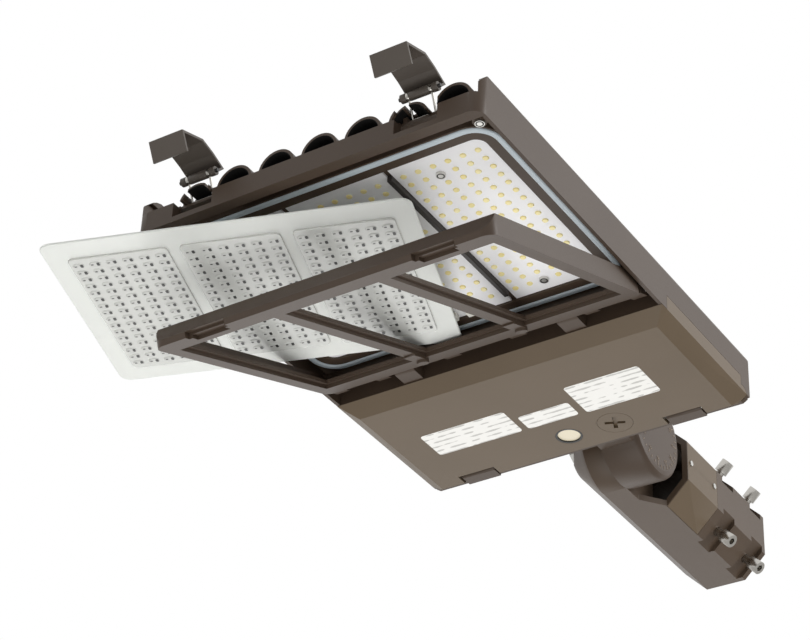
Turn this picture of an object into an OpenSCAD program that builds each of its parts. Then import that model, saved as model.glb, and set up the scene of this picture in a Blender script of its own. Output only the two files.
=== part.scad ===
// Shoebox area light on a tilting slipfitter, shown from below with its optic door hanging open.
// Lengths are millimetres. X runs across the light, Y from its front edge to the pole, Z up.
// The pieces are drawn about the front of the lamp gasket and moved so that the pole socket's
// mouth is the origin.

/* [Housing] */
// Width over the side walls
housing_w = 300; // [280:1:330]
// Gasket's front line to the outer face of the front wall
front_reach = 29; // [27:1:34]
// Gasket's back line to the back of the housing
rear_reach = 187; // [184:1:210]
// Side wall thickness
housing_wall = 3; // [2.5:0.1:3.5]
// Top of the side walls above the gasket's lower face
side_top = 30; // [28:1:36]
// Bottom edge of the walls below the gasket's lower face
wall_drop = 9.8; // [9.5:0.1:12]
// Underside of the heat sink plate above the gasket's lower face
plate_z = 4.6; // [4.4:0.1:5.2]
// Thickness of the heat sink plate
plate_t = 3.4; // [3:0.1:4.5]
// Thickness of the front wall
front_wall_t = 9.4; // [8:0.1:10]
// Outer radius of the half round cooling ducts
duct_r = 15.8; // [14:0.1:16.4]
// Distance between neighbouring ducts
duct_pitch = 37.6; // [37:0.1:38.4]
// Wall of a duct
duct_wall = 2.2; // [1.8:0.1:3]
// Roof of the driver compartment above the gasket's lower face
roof_top = 47; // [44:1:56]

/* [Lamp] */
// Half width of the gasket's centre line
gasket_half_w = 138; // [132:0.5:139]
// Length of the gasket's centre line, front to back
gasket_len = 209; // [200:1:225]
// Width of the gasket
gasket_w = 5.4; // [4.5:0.1:6]
// Distance between LED columns
led_pitch_x = 12.63; // [11:0.01:13]
// Side of one LED package
led_size = 3; // [2.5:0.1:3.5]
// Thickness of the LED boards
board_t = 1.6; // [1:0.1:2]

/* [Door] */
// Width of the lens frame
door_w = 289.2; // [285:0.1:290]
// Height of the lens frame's rim
door_h = 16.5; // [15:0.1:17]
// Angle at which the lens frame hangs open
door_angle = 20.74; // [10:0.01:80]
// Width of the two crossbars
crossbar_w = 10; // [8:0.5:14]
// Diameter of the hinge pins
hinge_pin_d = 4; // [3:0.1:5]

/* [Lens] */
// Width of the optic lens
lens_w = 278.5; // [270:0.5:282]
// Thickness of the lens plate
lens_t = 2; // [1.6:0.1:3]
// Height of the raised optic fields
optic_rise = 3; // [2:0.1:4]

/* [Driver cover] */
// Underside of the driver cover below the gasket's lower face
cover_drop = 18; // [16:0.5:22]
// Sheet thickness of the driver cover
cover_t = 2.4; // [2:0.1:3]
// Diameter of the slotted plug
plug_d = 30; // [26:0.5:32]
// Diameter of the light sensor's hole
sensor_d = 23; // [20:0.5:26]

/* [Latches] */
// Distance from the centre line to each latch
latch_x = 97.5; // [97:0.5:98]
// Width of a latch lever
lever_w = 31; // [26:0.5:31]
// Sheet thickness of a latch lever
lever_t = 2; // [1.5:0.1:2.5]
// Diameter of the latch bail's wire
bail_d = 1.8; // [1.5:0.1:2.2]

/* [Slipfitter] */
// Width across the flats of the octagonal arm
arm_w = 80; // [78:0.5:90]
// Bore that takes the pole's tenon
tenon_bore_d = 62; // [60.5:0.5:64]
// Knuckle pivot to the mouth of the bore
arm_reach = 208.4; // [205:0.1:230]
// Depth of the tenon socket
socket_depth = 95; // [85:1:105]
// Height of the arm's axis above the gasket's lower face
arm_z = 20.1; // [19:0.1:22]
// Radius of the housing's knuckle drum
drum_r = 42.3; // [40:0.1:44]
// Diameter of the knuckle bolt
knuckle_bolt_d = 12; // [10:0.5:14]

/* [Hidden] */
// Smoothness of round pieces
$fn = 48;
// Overrun of every cut
cut = 1;
// Clearance of a turning fit, on the radius
run_gap = 0.05;
// Gap between pieces that pass each other
gap = 0.3;
half_w = housing_w/2;
inner_x = half_w - housing_wall;
front_y = -front_reach;
front_in = front_y + front_wall_t;
rear_y = gasket_len + rear_reach;
plate_top = plate_z + plate_t;

// Values of the housing
corner_r = 10;
// Rounding of the side walls' top edge
top_round = 6;
// The ear at the front end of each side wall, as shares of its length and height
ear_len = 19;
ear_h = 20;
ear_shares = [[0, 0], [0.04, 0.15], [0.14, 0.34], [0.32, 0.58], [0.52, 0.77], [0.74, 0.91], [1, 1]];
// Gasket's back line to the back of the channel that takes the lens frame's rim
channel_reach = 14;
channel_rear = gasket_len + channel_reach;
// Front of the driver compartment, behind the hinge groove
groove_l = 20;
bay_y = channel_rear + groove_l;
// Height of the seam between the housing and the driver cover, and its run along the side walls
seam_z = 3;
seam_step = 8;
seam_y = bay_y + seam_step;
// Lip round the gasket
lip_t = 1.4;
// Depth that the gasket's groove walls stand below the heat sink plate
groove_depth = 3.4;
land_w = 8;
gasket_r = 20;
// Roof of the channel that takes the lens frame's rim
channel_z = 8;
channel_roof = 2.4;
duct_count = 7;
// The ducts stand nearer the right side: distance of their middle from the centre line
duct_shift = 15.4;
duct_end = channel_rear + duct_wall;
duct_axis_z = 5;
pocket_w = 36;
// How far the ducts' roofs stand back from the front face over a pocket
roof_setback = 3;
// Slots in those roofs for the legs of a bail
leg_slot_w = 3.2;
leg_slot_y = -14;
// Cheeks that carry a bail
cheek_x = 13;
cheek_t = 3.4;
cheek_y = -13.4;
cheek_z = 15;
// Height of the sill below a latch pocket
sill_h = 4.8;
// Hinge of the lens frame
hinge_z = -2;
hinge_block_x = 75;
hinge_block_w = 18;
hinge_block_r = 7;
hinge_y = channel_rear + hinge_block_r;
// Hinge of the driver cover, ahead of the housing's back
cover_hinge_in = 13.5;
cover_hinge_y = rear_y - cover_hinge_in;
cover_hinge_z = -14.5;
cover_pin_d = 3;
cover_hook_x = 97.5;
cover_hook_w = 31;
cover_edge_r = 9;
seam_lap = 2;
seam_end_y = cover_hinge_y - seam_lap;
// Wall at the back and its lip, which stands lower than the side walls
rear_lip_t = 4.1;
rear_lip_y = rear_y - rear_lip_t;
rear_lip_z = -13.8;
// Outline of the driver cover's underside, which the rear lip's corners follow
cover_hw = 137.3;
bevel_z = -wall_drop - gap;
// Knuckle between the housing and the arm
knuckle_reach = 51.6;
knuckle_y = rear_y + knuckle_reach;
mouth_y = knuckle_y + arm_reach;
serration_x = 3;
drum_x0 = serration_x + gap;
drum_x1 = 39.6;
drum_round = 6.5;
drum_steps = 3;
neck_len = 60;
neck_low = -6;
// Corner screws
corner_screw_x = 136;
corner_screw_y = -5;
corner_boss_r = 5.5;
screw_d = 4;
screw_head_d = 7.4;
screw_head_h = 2;

// Moves a piece from the gasket's front line to the pole socket's mouth
module placed() {
    translate([0, -mouth_y, -arm_z]) children();
}

// Outline with round corners, centred on X, from y0 to y1
module slab_2d(hw, y0, y1, r) {
    translate([-hw + r, y0]) square([2*(hw - r), y1 - y0]);
    translate([-hw, y0 + r]) square([2*hw, y1 - y0 - 2*r]);
    for (x = [-hw + r, hw - r], y = [y0 + r, y1 - r]) translate([x, y]) circle(r);
}

// The same outline as a plate
module slab(hw, y0, y1, z0, z1, r) {
    translate([0, 0, z0]) linear_extrude(z1 - z0) slab_2d(hw, y0, y1, r);
}

// Plain block given by its limits
module block(x0, x1, y0, y1, z0, z1) {
    translate([x0, y0, z0]) cube([x1 - x0, y1 - y0, z1 - z0]);
}

// Extrudes an outline drawn in Y and Z along X, from x0 to x1
module across(x0, x1) {
    translate([x0, 0, 0]) rotate([90, 0, 90]) linear_extrude(x1 - x0) children();
}

// Extrudes an outline drawn in X and Z along Y, from y0 to y1
module lengthwise(y0, y1) {
    translate([0, y1, 0]) rotate([90, 0, 0]) linear_extrude(y1 - y0) children();
}

// Round bar along X
module bar_x(x0, x1, y, z, d) {
    translate([x0, y, z]) rotate([0, 90, 0]) cylinder(d = d, h = x1 - x0);
}

// Offset of the gasket ring's outline
module ring_2d(grow) {
    slab_2d(gasket_half_w + grow, -grow, gasket_len + grow, gasket_r + grow);
}

// Points of the ear's outline, from the front wall's top up to the side wall's top
ear_points = [for (s = ear_shares) [front_y + ear_len*s[0], side_top - ear_h + ear_h*s[1]]];

// Side wall seen from the side
module side_outline() {
    polygon(concat(
        [[front_y, -wall_drop]],
        ear_points,
        [[rear_y, side_top], [rear_y, -wall_drop], [rear_lip_y, rear_lip_z]],
        [[seam_end_y, rear_lip_z], [seam_end_y, seam_z]],
        [[seam_y, seam_z], [seam_y, -wall_drop]]));
}

// Both side walls seen from the front, with their rounded tops
module side_section() {
    difference() {
        union() {
            translate([-half_w, -2*wall_drop]) square([housing_w, side_top - top_round + 2*wall_drop]);
            translate([-half_w + top_round, 0]) square([housing_w - 2*top_round, side_top]);
            for (s = [-1, 1]) translate([s*(half_w - top_round), side_top - top_round]) circle(top_round);
        }
        translate([-inner_x, -3*wall_drop]) square([2*inner_x, side_top - top_round + 3*wall_drop]);
        translate([-inner_x + top_round/2, 0]) square([2*inner_x - top_round, 2*side_top]);
    }
}

module duct_2d(r) {
    for (i = [0 : duct_count - 1]) {
        translate([duct_shift + (i - (duct_count - 1)/2)*duct_pitch, duct_axis_z]) circle(r);
    }
}

roof_hw = 140;
roof_chamfer = 9;
wire_bore_d = 14;
wire_bore_z = 24;
bolt_tap_depth = 30;

// Shell of the driver compartment's roof, drawn in X and Z
module roof_outline(inset) {
    hw = roof_hw - inset;
    top = roof_top - inset;
    polygon([[-hw, seam_z], [-hw, top - roof_chamfer], [-hw + roof_chamfer, top],
        [hw - roof_chamfer, top], [hw, top - roof_chamfer], [hw, seam_z]]);
}

module housing_shell() {
    intersection() {
        union() {
            intersection() {
                across(-half_w, half_w) side_outline();
                lengthwise(front_y, rear_y) side_section();
            }
            block(-half_w, half_w, front_y, front_in, -wall_drop, plate_top);
            block(-inner_x - cut, inner_x + cut, front_in - cut, bay_y, plate_z, plate_top);
            difference() {
                block(-inner_x - cut, inner_x + cut, front_in - cut, duct_end, plate_top, channel_z + channel_roof);
                slab(gasket_half_w, 0, gasket_len, plate_top - cut, plate_top + 2*channel_roof + cut, gasket_r);
            }
            intersection() {
                lengthwise(front_y, duct_end) duct_2d(duct_r);
                block(-inner_x - cut, inner_x + cut, front_y, duct_end, plate_z + cut, side_top);
            }
        }
        slab(half_w, front_y, rear_y + corner_r, -2*wall_drop, 2*side_top, corner_r);
    }
}

module driver_bay() {
    difference() {
        union() {
            block(-inner_x - cut, inner_x + cut, bay_y, rear_y, seam_z + cut, side_top - top_round);
            block(-inner_x - cut, inner_x + cut, bay_y, bay_y + housing_wall, -wall_drop, side_top - top_round);
            block(-inner_x - cut, inner_x + cut, rear_lip_y, rear_y, rear_lip_z, side_top - top_round);
            lengthwise(bay_y, rear_y) roof_outline(0);
        }
        block(-inner_x, inner_x, bay_y + housing_wall, rear_lip_y, -3*wall_drop, side_top - top_round - housing_wall);
        lengthwise(bay_y + housing_wall, rear_lip_y) roof_outline(housing_wall);
    }
}

// Drum of the tilt knuckle and the neck that carries it
module knuckle_drum() {
    high = arm_z + drum_r;
    translate([drum_x0, knuckle_y, arm_z]) rotate([0, 90, 0])
        cylinder(r = drum_r, h = drum_x1 - drum_x0 - drum_round, $fn = 96);
    // Rounded edge of the drum's outer face
    for (i = [0 : drum_steps - 1]) {
        a0 = i*90/drum_steps;
        a1 = (i + 1)*90/drum_steps;
        translate([drum_x1 - drum_round + drum_round*sin(a0), knuckle_y, arm_z]) rotate([0, 90, 0])
            cylinder(r1 = drum_r - drum_round*(1 - cos(a0)), r2 = drum_r - drum_round*(1 - cos(a1)),
                h = drum_round*(sin(a1) - sin(a0)), $fn = 96);
    }
    lengthwise(rear_y - housing_wall, knuckle_y)
        polygon([[drum_x0, neck_low], [drum_x1 - drum_round, neck_low], [drum_x1, neck_low + drum_round],
            [drum_x1, high - drum_round], [drum_x1 - drum_round, high], [drum_x0, high]]);
    across(drum_x0, drum_x1)
        polygon([[rear_y, roof_top - housing_wall], [rear_y, high], [rear_y - neck_len, roof_top],
            [rear_y - neck_len, roof_top - housing_wall]]);
}

// One block between the heat sink plate and a hinge pin
module hinge_block(x) {
    low = hinge_z - hinge_block_r;
    bar_x(x - hinge_block_w/2, x + hinge_block_w/2, hinge_y, hinge_z, 2*hinge_block_r);
    block(x - hinge_block_w/2, x + hinge_block_w/2, hinge_y - hinge_block_r, hinge_y, hinge_z, plate_z + cut);
    block(x - hinge_block_w/2, x + hinge_block_w/2, hinge_y, bay_y + cut, low, plate_z + cut);
}

// One hook that carries a hinge pin of the driver cover
module cover_hook(x) {
    bar_x(x - cover_hook_w/2, x + cover_hook_w/2, cover_hinge_y, cover_hinge_z, 2*cover_pin_d);
    block(x - cover_hook_w/2, x + cover_hook_w/2, cover_hinge_y, rear_lip_y + cut,
        cover_hinge_z - cover_pin_d, cover_hinge_z + cover_pin_d);
}

module housing() color("#4d443e") placed() {
    difference() {
        union() {
            difference() {
                union() {
                    housing_shell();
                    driver_bay();
                }
                // Duct bores
                intersection() {
                    lengthwise(front_y - cut, duct_end + cut) duct_2d(duct_r - duct_wall);
                    union() {
                        block(-inner_x, inner_x, front_y - cut, duct_end + cut, channel_z + channel_roof, side_top);
                        block(-inner_x, inner_x, front_y - cut, front_in - duct_wall, plate_top, side_top);
                    }
                }
                // Room for the turning edge of the driver cover
                bar_x(-half_w - cut, half_w + cut, cover_hinge_y, cover_hinge_z, 2*(cover_edge_r + gap));
                // Channel for the rim of the lens frame
                difference() {
                    block(-inner_x, inner_x, front_in, channel_rear, -3*wall_drop, channel_z);
                    translate([0, 0, -3*wall_drop - cut]) linear_extrude(4*wall_drop + 2*cut)
                        ring_2d(gasket_w/2 + lip_t);
                }
            }
            // Walls of the gasket groove
            difference() {
                translate([0, 0, plate_z - groove_depth]) linear_extrude(groove_depth + cut) ring_2d(gasket_w/2 + lip_t);
                translate([0, 0, -cut]) linear_extrude(plate_z + cut) ring_2d(-gasket_w/2 - land_w);
                translate([0, 0, -cut]) linear_extrude(plate_z + cut) difference() {
                    ring_2d(gasket_w/2);
                    ring_2d(-gasket_w/2);
                }
            }
            knuckle_drum();
            for (s = [-1, 1]) {
                hinge_block(s*hinge_block_x);
                cover_hook(s*cover_hook_x);
                // Bosses of the front corner screws
                translate([s*corner_screw_x, corner_screw_y, 0]) cylinder(r = corner_boss_r, h = channel_z + cut);
                // Cheeks beside the latch pockets
                for (t = [-1, 1]) block(s*latch_x + t*(cheek_x + cheek_t/2) - cheek_t/2,
                    s*latch_x + t*(cheek_x + cheek_t/2) + cheek_t/2, front_in, cheek_y, plate_top, cheek_z);
            }
        }
        // Latch pockets, open above their sills, with the ducts' roofs left over them
        for (s = [-1, 1]) {
            block(s*latch_x - pocket_w/2, s*latch_x + pocket_w/2, front_y - cut, front_in,
                sill_h - wall_drop, channel_z + channel_roof);
            block(s*latch_x - pocket_w/2, s*latch_x + pocket_w/2, front_y - cut, front_y + roof_setback,
                channel_z, side_top);
            for (t = [-1, 1]) block(s*latch_x + t*bail_leg_x - leg_slot_w/2, s*latch_x + t*bail_leg_x + leg_slot_w/2,
                front_y, leg_slot_y, channel_z + channel_roof, side_top);
            bar_x(s*latch_x - pocket_w/2, s*latch_x + pocket_w/2, bail_y, bail_z,
                bail_d + wire_step + 2*run_gap);
            translate([s*corner_screw_x, corner_screw_y, -cut]) cylinder(d = screw_d, h = channel_z + cut);
            bar_x(s*hinge_block_x - hinge_block_w, s*hinge_block_x + hinge_block_w, hinge_y, hinge_z, hinge_pin_d);
            bar_x(s*cover_hook_x - cover_hook_w/2 - cut, s*cover_hook_x + cover_hook_w/2 + cut, cover_hinge_y,
                cover_hinge_z, cover_pin_d);
            // Slanted corner of the rear lip
            lengthwise(seam_end_y - cut, rear_y + cut)
                polygon([[s*cover_hw, -cover_drop], [s*half_w, bevel_z], [s*(half_w + cut), bevel_z],
                    [s*(half_w + cut), -cover_drop]]);
        }
        // Wire passage from the driver compartment to the knuckle, and the bolt's tapped bore
        translate([(drum_x0 + drum_x1)/2, rear_lip_y - cut, arm_z + wire_bore_z]) rotate([-90, 0, 0])
            cylinder(d = wire_bore_d, h = knuckle_y - rear_lip_y + cut);
        bar_x(drum_x0 - cut, (drum_x0 + drum_x1)/2, knuckle_y, arm_z + wire_bore_z, wire_bore_d);
        bar_x(drum_x0 - cut, drum_x0 + bolt_tap_depth, knuckle_y, arm_z, knuckle_bolt_d + 2*run_gap);
    }
}

// Values of the lamp's boards
board_z = plate_z - board_t;
divider_x = 45;
divider_t = 4;
divider_h = 6;
led_cols = 6;
led_rows = 16;
led_h = 0.8;
zone_x = 85.2;
// Row and column of the LED places that the board's screws take
screw_row = 1;
screw_rows = [screw_row, led_rows - screw_row];
screw_col = 2;
connector = [9, 6, 5];
connector_x = [-8, 10];
lead_d = 1.6;
// Ends of the boards, and how far inside them the LEDs, connectors and dividers stand
board_inset = gasket_w/2 + land_w + gap;
board_y0 = board_inset;
board_y1 = gasket_len - board_inset;
led_in = [13.5, 12.7];
connector_in = 5;
divider_in = [8, 11];
led_y0 = board_y0 + led_in[0];
led_pitch_y = (board_y1 - led_in[1] - led_y0)/(led_rows - 1);
connector_y = board_y1 - connector_in;

module lens_gasket() color("#aab8bd") placed() {
    difference() {
        linear_extrude(plate_z) ring_2d(gasket_w/2 - run_gap);
        translate([0, 0, -cut]) linear_extrude(plate_z + 2*cut) ring_2d(-gasket_w/2 + run_gap);
    }
}

// One LED board with its packages; x0 and x1 are its edges and xc the centre of its LEDs
module led_board(x0, x1, xc) {
    color("#f4f4f0") intersection() {
        block(x0, x1, 0, gasket_len, board_z, plate_z);
        linear_extrude(plate_z + cut) ring_2d(-board_inset);
    }
    color("#f1d27a") for (c = [0 : led_cols - 1], r = [0 : led_rows - 1]) {
        x = xc + (c - (led_cols - 1)/2)*led_pitch_x;
        y = led_y0 + r*led_pitch_y;
        if (c != screw_col || (r != screw_rows[0] && r != screw_rows[1]))
            block(x - led_size/2, x + led_size/2, y - led_size/2, y + led_size/2, board_z - led_h, board_z + led_h/2);
    }
}

// Places children at a board's two screws
module at_board_screws(xc) {
    for (r = screw_rows) translate([xc + (screw_col - (led_cols - 1)/2)*led_pitch_x, led_y0 + r*led_pitch_y, board_z])
        children();
}

// Holes in a board for its two screws
module board_holes(xc) {
    at_board_screws(xc) translate([0, 0, -cut]) cylinder(d = screw_d, h = board_t + 2*cut);
}

module led_board_left() placed() difference() {
    led_board(-gasket_half_w, -divider_x - divider_t/2 - gap, -zone_x);
    board_holes(-zone_x);
}

module led_board_centre() placed() difference() {
    led_board(-divider_x + divider_t/2 + gap, divider_x - divider_t/2 - gap, 0);
    board_holes(0);
}

module led_board_right() placed() difference() {
    led_board(divider_x + divider_t/2 + gap, gasket_half_w, zone_x);
    board_holes(zone_x);
}

// Pan head screw that points up, with its head's top face at the origin
module screw_up(d, head_d, head_h, len) {
    cylinder(d = head_d, h = head_h);
    cylinder(d = d, h = head_h + len);
}

module board_screws() color("#c9c9c6") placed() {
    for (xc = [-zone_x, 0, zone_x]) at_board_screws(xc)
        translate([0, 0, -screw_head_h]) screw_up(screw_d - gap, screw_head_d, screw_head_h, board_t);
}

// Dark rib between two boards
module board_divider(x) {
    block(x - divider_t/2, x + divider_t/2, board_y0 + divider_in[0], board_y1 - divider_in[1],
        plate_z - divider_h, plate_z);
}

module board_divider_left() color("#3a3330") placed() board_divider(-divider_x);
module board_divider_right() color("#3a3330") placed() board_divider(divider_x);

module board_connectors() color("#f2f0ea") placed() {
    for (x = connector_x)
        block(x - connector[0]/2, x + connector[0]/2, connector_y - connector[1]/2, connector_y + connector[1]/2,
            board_z - connector[2], board_z);
}

module led_leads() color("#d9c23a") placed() {
    for (x = connector_x, s = [-1, 1])
        translate([x + s*connector[0]/4, connector_y + connector[1]/2, board_z - connector[2]/2]) {
            rotate([-90, 0, 0]) cylinder(d = lead_d, h = board_y1 - connector_y - connector[1]/2);
        }
}

module corner_screws() color("#cfcfcc") placed() {
    for (s = [-1, 1])
        translate([s*corner_screw_x, corner_screw_y, -screw_head_h])
            screw_up(screw_d - gap, screw_head_d, screw_head_h, channel_z);
}

// Values of the lens frame, drawn closed
door_hw = door_w/2;
door_play = [1.4, 3.7];
door_y0 = front_in + door_play[0];
door_y1 = channel_rear - door_play[1];
door_z0 = -9;
door_r = 9;
rim_t = 2;
ledge_t = 6.5;
front_slant = 9.2;
side_bar = 10;
front_bar = 20;
rear_bar = 18;
lip_w = 3;
lip_ledge_t = 3.2;
nose_r = 6.5;
strike_w = 35;
strike_depth = 5;
strike_h = 7;
lug_places = [30, 96, 137];
lug_widths = [14, 12, 12];
lug_r = 5;

// Turns a piece about an axis along X
module turned(y, z, angle) {
    translate([0, y, z]) rotate([angle, 0, 0]) translate([0, -y, -z]) children();
}

// Openings of the three windows between z0 and z1, made narrower by lip
module window_cuts(z0, z1, lip) {
    x_in = divider_x + crossbar_w/2 + lip;
    x_out = door_hw - side_bar - lip;
    y0 = door_y0 + front_bar + lip;
    y1 = door_y1 - rear_bar - lip;
    block(-divider_x + crossbar_w/2 + lip, divider_x - crossbar_w/2 - lip, y0, y1, z0, z1);
    block(x_in, x_out, y0, y1, z0, z1);
    block(-x_out, -x_in, y0, y1, z0, z1);
}

module hinge_lug(x, w) {
    bar_x(x - w/2, x + w/2, hinge_y, hinge_z, 2*lug_r);
    block(x - w/2, x + w/2, door_y1 - cut, hinge_y, hinge_z - lug_r, hinge_z + lug_r/2);
}

module lens_frame() color("#5a5049") placed() turned(hinge_y, hinge_z, door_angle) {
    difference() {
        union() {
            slab(door_hw, door_y0, door_y1, door_z0, door_z0 + door_h, door_r);
            // Rounded noses where the crossbars end on the rear bar
            for (s = [-1, 1]) {
                translate([s*divider_x, door_y1 - rear_bar + lip_w, door_z0 - nose_r + lip_w])
                    cylinder(d = crossbar_w, h = nose_r);
                block(s*divider_x - crossbar_w/2, s*divider_x + crossbar_w/2, door_y1 - 2*rear_bar,
                    door_y1 - rear_bar + lip_w, door_z0 - lip_w/2, door_z0 + lip_w);
                for (i = [0 : len(lug_places) - 1]) hinge_lug(s*lug_places[i], lug_widths[i]);
            }
        }
        // Space above the bars, inside the rim
        slab(door_hw - rim_t, door_y0 + front_slant + rim_t, door_y1 - rim_t, door_z0 + ledge_t,
            door_z0 + door_h + cut, door_r - rim_t);
        window_cuts(door_z0 - nose_r, door_z0 + door_h, lip_w);
        window_cuts(door_z0 - nose_r, door_z0 + ledge_t - lip_ledge_t, 0);
        // Slanted front face
        across(-door_hw - cut, door_hw + cut)
            polygon([[door_y0 - cut, door_z0 + strike_depth], [door_y0, door_z0 + strike_depth],
                [door_y0 + front_slant, door_z0 + door_h], [door_y0 + front_slant, door_z0 + door_h + cut],
                [door_y0 - cut, door_z0 + door_h + cut]]);
        for (s = [-1, 1]) {
            // Recess that the latch lever hooks under
            block(s*latch_x - strike_w/2, s*latch_x + strike_w/2, door_y0 - cut, door_y0 + strike_depth,
                door_z0 - cut, door_z0 + strike_depth);
            block(s*latch_x - strike_w/2 + lip_w, s*latch_x + strike_w/2 - lip_w, door_y0 - cut,
                door_y0 + strike_h + strike_depth, door_z0 - cut, door_z0 + lip_w);
        }
        bar_x(-door_hw - cut, door_hw + cut, hinge_y, hinge_z, hinge_pin_d + 2*run_gap);
    }
}

pin_x0 = 21;
pin_x1 = 144;

module door_hinge_pins() color("#8f8f8c") placed() {
    bar_x(pin_x0, pin_x1, hinge_y, hinge_z, hinge_pin_d);
    bar_x(-pin_x1, -pin_x0, hinge_y, hinge_z, hinge_pin_d);
}

module cover_hinge_pins() color("#8f8f8c") placed() {
    for (s = [-1, 1])
        bar_x(s*cover_hook_x - slot_w/2 - barrel_w, s*cover_hook_x + slot_w/2 + barrel_w, cover_hinge_y,
            cover_hinge_z, cover_pin_d);
}

// Values of the optic lens, which lies half out of the frame as the photograph shows. Its place
// is that of its back edge from the door's hinge.
lens_back = [-138.69, -69.12, -14.13];
lens_turn = [5.44, -2.54, 21.06];
lens_play = 10.3;
lens_l = door_y1 - door_y0 - front_slant - 2*rim_t - lens_play;
lens_r = 9;
field_w = 76;
field_end = 21.5;

module optic_lens() color("#e4e8e4") placed() translate([0, hinge_y, hinge_z]) translate(lens_back)
    rotate(lens_turn) {
        slab(lens_w/2, -lens_l, 0, 0, lens_t, lens_r);
        for (x = [-zone_x, 0, zone_x])
            translate([x, 0, 0]) slab(field_w/2, -lens_l + field_end, -field_end, -optic_rise, lens_t/2, lens_r/2);
    }

// Values of the driver cover
bevel_run = 15.6;
bevel_y = bay_y + bevel_run;
// Distances ahead of the housing's back
cover_rear_in = 8;
cover_edge_in = 5.5;
slot_l = 19;
fitting_in = 31;
cover_rear = rear_y - cover_rear_in;
cover_edge = rear_y - cover_edge_in;
cover_edge_rise = 2.5;
slot_w = 35;
slot_y0 = rear_y - slot_l;
plug_x = 43;
sensor_x = 0;
fitting_y = rear_y - fitting_in;
plug_flange = 3;
plug_t = 3.6;
cross_w = 3.4;
cross_l = 17;
cross_turn = 22;
sensor_glass_d = 19;
sensor_h = 9;
barrel_w = 7;
barrel_r = 3.2;
arc_steps = 8;
seam_back_y = seam_end_y - gap;

// Edge of the cover that turns inside the housing, round the cover's hinge
arc_a0 = -6;
arc_a1 = acos((seam_back_y - cover_hinge_y)/cover_edge_r);
cover_edge_arc = [for (i = [0 : arc_steps]) let (a = arc_a0 + i*(arc_a1 - arc_a0)/arc_steps)
    [cover_hinge_y + cover_edge_r*cos(a), cover_hinge_z + cover_edge_r*sin(a)]];

module cover_side_outline() {
    polygon(concat(
        [[bay_y, bevel_z], [bevel_y, -cover_drop], [cover_rear, -cover_drop],
            [cover_edge, -cover_drop + cover_edge_rise]],
        cover_edge_arc,
        [[seam_back_y, seam_z - gap], [seam_y + gap, seam_z - gap], [seam_y + gap, bevel_z]]));
}

module driver_cover() color("#574d45") placed() difference() {
    union() {
        difference() {
            intersection() {
                across(-half_w, half_w) cover_side_outline();
                lengthwise(bay_y, rear_y) polygon([[-half_w, seam_z], [-half_w, bevel_z],
                    [-cover_hw, -cover_drop], [cover_hw, -cover_drop], [half_w, bevel_z], [half_w, seam_z]]);
            }
            // Inside of the tray
            intersection() {
                across(-half_w, half_w) polygon([[bay_y + cover_t + gap, bevel_z + gap],
                    [bevel_y + cover_t/2, -cover_drop + cover_t], [rear_y, -cover_drop + cover_t],
                    [rear_y, seam_z + cut], [bay_y + cover_t + gap, seam_z + cut]]);
                lengthwise(bay_y, rear_y + cut) polygon([[-half_w + cover_t, seam_z + cut],
                    [-half_w + cover_t, bevel_z + cover_t/2], [-cover_hw + cover_t/2, -cover_drop + cover_t],
                    [cover_hw - cover_t/2, -cover_drop + cover_t], [half_w - cover_t, bevel_z + cover_t/2],
                    [half_w - cover_t, seam_z + cut]]);
            }
            for (s = [-1, 1])
                block(s*cover_hook_x - slot_w/2, s*cover_hook_x + slot_w/2, slot_y0, rear_y,
                    -cover_drop - cut, seam_z);
            translate([plug_x, fitting_y, -cover_drop - cut]) cylinder(d = plug_d, h = cover_t + 2*cut);
            translate([sensor_x, fitting_y, -cover_drop - cut]) cylinder(d = sensor_d, h = cover_t + 2*cut);
        }
        // Hinge barrels on both sides of each slot
        for (s = [-1, 1], t = [-1, 1])
            bar_x(s*cover_hook_x + t*(slot_w + barrel_w)/2 - barrel_w/2,
                s*cover_hook_x + t*(slot_w + barrel_w)/2 + barrel_w/2, cover_hinge_y, cover_hinge_z, 2*barrel_r);
    }
    for (s = [-1, 1])
        bar_x(s*cover_hook_x - slot_w/2 - barrel_w - cut, s*cover_hook_x + slot_w/2 + barrel_w + cut, cover_hinge_y,
            cover_hinge_z, cover_pin_d + 2*run_gap);
}

// Threaded plug with a deep cross, closed by a flange inside the cover
module cover_plug() color("#574d45") placed() translate([plug_x, fitting_y, -cover_drop]) difference() {
    union() {
        cylinder(d = plug_d - 2*gap, h = plug_t);
        translate([0, 0, cover_t]) cylinder(d = plug_d + 2*plug_flange, h = plug_t - cover_t + cut);
    }
    for (a = [0, 90]) rotate(a + cross_turn) translate([-cross_l/2, -cross_w/2, -cut]) cube([cross_l, cross_w, cover_t + cut]);
}

module sensor_ring() color("#1d1b1a") placed() translate([sensor_x, fitting_y, -cover_drop]) difference() {
    union() {
        cylinder(d = sensor_d - 2*run_gap, h = cover_t);
        translate([0, 0, cover_t]) cylinder(d = sensor_d + plug_flange, h = plug_t - cover_t);
    }
    translate([0, 0, -cut]) cylinder(d = sensor_glass_d + 2*run_gap, h = sensor_h);
}

module sensor_window() color("#e9dfc4") placed() translate([sensor_x, fitting_y, -cover_drop + cover_t/2]) {
    cylinder(d = sensor_glass_d, h = sensor_h);
}

// What the driver compartment holds, hung under its roof
bay_roof = roof_top - housing_wall;
driver_size = [165, 67, 34];
driver_in = 20.5;
driver_at = [0, bay_y + housing_wall + driver_in + driver_size[1]/2];
driver_tab = 14;
driver_tab_t = 3;
// The surge protector and the terminal block stand behind the driver, on either side
small_x = 98;
small_gap = 6.5;
small_y = driver_at[1] + driver_size[1]/2 + small_gap;
surge_size = [52, 36, 26];
surge_at = [-small_x, small_y + surge_size[1]/2];
block_size = [46, 22, 18];
block_at = [small_x, small_y + block_size[1]/2];

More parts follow.
